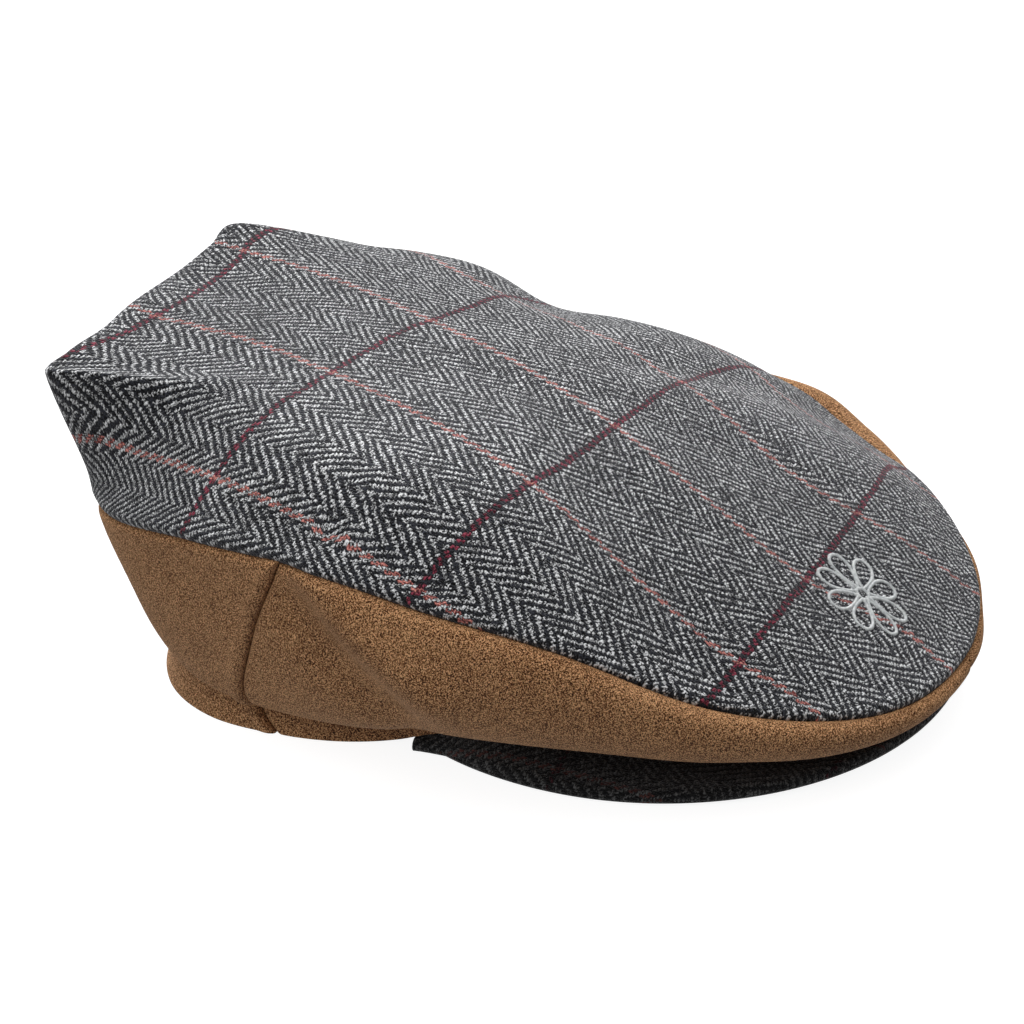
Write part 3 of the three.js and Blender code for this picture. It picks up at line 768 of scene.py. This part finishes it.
def wool_panel(name, start, end, sections, banded, seed):
    """Panel between two seams, whose angles at each level are given. It rolls in along the seams and swells
    below the crown by a sine of the square root of the way down."""
    share = crowded(sections)[:, None]
    angle = start * (1 - share) + end * share
    level = np.broadcast_to(wool_levels, angle.shape)
    points = cap_point(angle, level)
    down = np.cumsum(np.insert(steps_along(points, 1), 0, 0, axis=1), axis=1)
    sideways = np.cumsum(np.insert(steps_along(points, 0), 0, 0, axis=0), axis=0)
    to_side = np.minimum(sideways, sideways[-1:] - sideways)
    raised = UNEVENNESS * ripple(points, WOOL_WAVE, seed) * np.clip(EVEN_FROM - level, 0, 1)
    swell, = round_the_cap(SWELL, angle)
    raised += swell * np.sin(np.pi * np.sqrt(np.clip((level - 1) / SWELL_REACH, 0, 1)))
    if banded:
        raised += SEAM_BAND_RISE / (1 + np.exp((to_side - SEAM_BAND) / BAND_EDGE))
    drop = round_the_cap(SIDE, angle)[0]
    upper_roll = UPPER_ROLL * np.clip(drop / UPRIGHT, LEAST_ROLL, 1)
    raised -= np.maximum(rolled_in(down, upper_roll), rolled_in(to_side, SEAM_ROLL))
    normal = outward(smooth_point, angle, level)
    points = points + normal * raised[..., None]
    inside = points - normal * CLOTH
    points[..., 2] = np.maximum(points[..., 2], 0)
    inside[..., 2] = np.maximum(inside[..., 2], 0)
    return cloth_piece(name, points, inside, np.stack([sideways, down], -1), False)


NAP_LENGTH = 0.00042  # single fibres are too fine to show, so the nap is drawn in grains of this size
TUFT_LENGTH = 0.004
TUFT_WEIGHT = 0.03
PATCH_LENGTH = 0.03
PATCH_WEIGHT = 0.06
NAP_HEIGHT = 0.0004
NAP_SHADES = ((0.48, "#2a1408"), (0.548, "#8e5935"), (0.62, "#edba87"))  # by the sum of these changes


def brushed_wool():
    """Woollen cloth that is milled and brushed, so no weave shows: a short nap of mixed tan and brown fibres,
    seen as a fine grain with soft patches where the nap lies one way or the other."""
    material, tree = new_material("brushed_wool_cloth")
    place = add_node(tree, "TexCoord", {}).outputs["Object"]
    grain = add_node(
        tree, "TexNoise", {"Vector": place, "Scale": 1 / NAP_LENGTH, "Detail": 2.0, "Roughness": 0.9})
    mixed = grain
    for length, weight in ((TUFT_LENGTH, TUFT_WEIGHT), (PATCH_LENGTH, PATCH_WEIGHT)):
        change = add_node(tree, "TexNoise", {"Vector": place, "Scale": 1 / length, "Detail": 2.0})
        mixed = add_node(tree, "Math", {0: change, 1: weight, 2: mixed}, operation="MULTIPLY_ADD")
    ramp = add_node(tree, "ValToRGB", {})
    for k, (spot, code) in enumerate(NAP_SHADES):
        mark = ramp.color_ramp.elements[k] if k < 2 else ramp.color_ramp.elements.new(spot)
        mark.position = spot
        mark.color = linear(code)
    tree.links.new(mixed.outputs[0], ramp.inputs[0])
    bump = add_node(tree, "Bump", {"Strength": 0.7, "Distance": NAP_HEIGHT, "Height": grain})
    surface = add_node(tree, "BsdfPrincipled", {
        "Base Color": ramp, "Normal": bump, "Roughness": 0.95, "Specular IOR Level": 0.15,
        "Sheen Weight": 0.3, "Sheen Roughness": 0.5, "Sheen Tint": linear("#d8a878"),
    })
    add_node(tree, "OutputMaterial", {"Surface": surface})
    return material


wool = brushed_wool()
rear_right = back_seam(wool_levels)[None, :]
rear_left = 360 - rear_right
middle_front = np.zeros_like(rear_right)
for name, node, start, end, sections, banded, seed, flat, area in (
    ("right_side_cloth", "side_panel_right", middle_front, rear_right, 150, False, 2, (0.26, 0.09), 0.017),
    ("left_side_cloth", "side_panel_left", rear_left, middle_front + 360, 150, False, 3, (0.26, 0.09), 0.017),
    ("back_cloth", "back_panel", rear_right, rear_left, 190, True, 4, (0.26, 0.07), 0.016),
):
    panel = wool_panel(name, start, end, sections, banded, seed)
    panel.data.materials.append(wool)
    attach(panel, "root")
    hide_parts(node)


# Peak
# A curved board covered with the same tweed above and below, sewn in under the front of the sides. Its
# sides come down to the surface and its front edge stands a little above it.

PEAK_THICKNESS = 0.004
PEAK_RADIUS = 0.0885  # the peak's outline is an arc of this radius
PEAK_CENTRE = 0.0495  # middle of that arc, in front of the cap's axis
PEAK_LIFT = 0.007  # underside of the peak's edge above the surface, at the front
PEAK_FLAT_ANGLE = 60  # from this angle on, the peak's edge lies on the surface
PEAK_END_ANGLE = 87
PEAK_LIP = 0.004  # the least that the peak stands out from its root
PEAK_CLEARANCE = 0.0005  # between the front edge of the wool and the peak under it
PEAK_SECTIONS = 240
PEAK_RINGS = 50
EDGE_POINTS = 10
PEAK_STRIPE_PLACE = (0.012, 0.02)  # shifts the stripes over the peak
PEAK_PAINTED_SHADE = 0.15  # painted shade: the peak's tweed is darkened to stand for the shadow of the crown's overhang


def peak_point(angle, share, above):
    """Place on the peak: from its root under the rim to its round outline, straight in height, with the top a
    thickness above the underside."""
    _, _, tuck_radius, tuck_height, _, rim = round_the_cap(SIDE, angle)
    turn = np.radians(angle)
    root = tuck_radius - CLOTH
    outline = PEAK_CENTRE * np.cos(turn) + np.sqrt(PEAK_RADIUS**2 - (PEAK_CENTRE * np.sin(turn)) ** 2)
    outline = np.maximum(outline, root + PEAK_LIP)
    edge_height = PEAK_LIFT * np.maximum(0, 1 - np.abs(angle) / PEAK_FLAT_ANGLE) ** 2
    root_height = np.clip(rim, 0, tuck_height - LEAST_HEM) - PEAK_CLEARANCE - PEAK_THICKNESS
    radius = root + (outline - root) * share
    height = root_height + (edge_height - root_height) * share + above
    return AXIS + np.stack([-np.sin(turn) * radius, -np.cos(turn) * radius, height], -1)


angle = np.linspace(-PEAK_END_ANGLE, PEAK_END_ANGLE, PEAK_SECTIONS)[:, None]
inner = np.linspace(0, 1, PEAK_RINGS)[None, :-1]
round_edge = np.linspace(0, np.pi / 2, EDGE_POINTS)[None, :]
whole = np.ones((PEAK_SECTIONS, 1))
breadth = steps_along(peak_point(angle, np.array([[0.0, 1.0]]), 0), 1)
straight = 1 - PEAK_THICKNESS / 2 / breadth
share = np.concatenate([straight * inner, straight + (1 - straight) * np.sin(round_edge)], axis=1)
half = PEAK_THICKNESS / 2 * np.concatenate([whole * np.ones_like(inner), whole * np.cos(round_edge)], axis=1)
upper = peak_point(angle, share, PEAK_THICKNESS / 2 + half)
lower = peak_point(angle, share, PEAK_THICKNESS / 2 - half)
over = np.cumsum(np.insert(steps_along(upper, 1), 0, 0, axis=1), axis=1)
over += np.linalg.norm(upper[:, :1, :2] - AXIS[:2], axis=-1)
turn = np.radians(angle)
peak_place = np.stack([over * np.sin(turn), over * np.cos(turn)], -1) + PEAK_STRIPE_PLACE
peak = cloth_piece("peak_cloth", upper, lower, peak_place, False)
# The peak's tweed is the crown's tweed with its colours darkened, as painted shade under the overhang.
peak.data.materials.append(herringbone_tweed("peak_tweed_painted_shade", PEAK_PAINTED_SHADE))
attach(peak, "root")
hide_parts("peak")


# Floor, light and camera
# A white table under soft lamps, and a camera at the photograph's angle.

FLOOR_REACH = 6.0
PAPER_GLOW = 0.9  # light of the paper's own, which keeps it white round the cap
floor_mesh = bpy.data.meshes.new("table_top")
floor_corners = [(-FLOOR_REACH, -FLOOR_REACH, 0), (FLOOR_REACH, -FLOOR_REACH, 0)]
floor_corners += [(FLOOR_REACH, FLOOR_REACH, 0), (-FLOOR_REACH, FLOOR_REACH, 0)]
floor_mesh.from_pydata(floor_corners, [], [(0, 1, 2, 3)])
floor = put_in("table_top", floor_mesh)
paper = bpy.data.materials.new("white_paper")
paper.use_nodes = True
paper_surface = paper.node_tree.nodes["Principled BSDF"]
paper_surface.inputs["Base Color"].default_value = linear("#949494")
paper_surface.inputs["Roughness"].default_value = 0.9
paper_surface.inputs["Emission Color"].default_value = (1, 1, 1, 1)
paper_surface.inputs["Emission Strength"].default_value = PAPER_GLOW
floor_mesh.materials.append(paper)

# The floor's own light would wash out the shade under the cap, so the room gives what comes from below.
floor.visible_diffuse = False
LIGHT_ABOVE = 1.6  # strength of the room's light from straight above
LIGHT_LEVEL = 0.02  # from the side
LIGHT_BELOW = 0.33  # from below
HIGH_FROM = 0.4  # upward share of a direction above which the light grows towards the top
LOW_FROM = -0.25  # upward share below which it has its full strength from below
world = bpy.data.worlds.new("studio")
world.use_nodes = True
room = world.node_tree
direction = add_node(room, "TexCoord", {}).outputs["Generated"]
upward = add_node(room, "SeparateXYZ", {0: direction}).outputs["Z"]
from_below = add_node(room, "MapRange", {
    "Value": upward, "From Min": LOW_FROM, "From Max": 0.0, "To Min": LIGHT_BELOW, "To Max": LIGHT_LEVEL})
from_above = add_node(room, "MapRange", {
    "Value": upward, "From Min": HIGH_FROM, "From Max": 1.0, "To Min": LIGHT_LEVEL, "To Max": LIGHT_ABOVE})
room_light = add_node(room, "Math", {0: from_below, 1: from_above}, operation="MAXIMUM")
room.links.new(room_light.outputs[0], room.nodes["Background"].inputs["Strength"])
room.nodes["Background"].inputs["Color"].default_value = (1, 1, 1, 1)
bpy.context.scene.world = world


def place_sun(name, toward, angle, strength):
    """Broad soft light from far away, falling from a direction."""
    light = bpy.data.lights.new(name, "SUN")
    light.angle = math.radians(angle)
    light.energy = strength
    holder = put_in(name, light)
    holder.rotation_euler = mathutils.Vector(toward).to_track_quat("Z", "Y").to_euler()


place_sun("key", toward=(0.77, 0.64, 0.47), angle=45, strength=3.3)
place_sun("fill", toward=(-1.0, 0.5, 0.45), angle=30, strength=0.4)

VIEW_AZIMUTH = math.radians(-66)
VIEW_ELEVATION = math.radians(24)
VIEW_DISTANCE = 1.1
PICTURE_PIXELS = 1024
PIXELS_PER_METRE = 3350  # at the cap's axis
SHIFT_PIXELS = (-3, -12)  # of the picture, to the right and up
AIM_HEIGHT = 0.045
camera = bpy.data.cameras.new("camera")
camera.lens = camera.sensor_width * VIEW_DISTANCE / (PICTURE_PIXELS / PIXELS_PER_METRE)
camera.shift_x = SHIFT_PIXELS[0] / PICTURE_PIXELS
camera.shift_y = SHIFT_PIXELS[1] / PICTURE_PIXELS
eye = put_in("camera", camera)
to_eye = mathutils.Vector((
    math.sin(VIEW_AZIMUTH) * math.cos(VIEW_ELEVATION),
    -math.cos(VIEW_AZIMUTH) * math.cos(VIEW_ELEVATION),
    math.sin(VIEW_ELEVATION),
))
eye.location = mathutils.Vector((AXIS[0], AXIS[1], AIM_HEIGHT)) + to_eye * VIEW_DISTANCE
eye.rotation_euler = to_eye.to_track_quat("Z", "Y").to_euler()
bpy.context.scene.camera = eye
bpy.context.scene.view_settings.view_transform = "Standard"
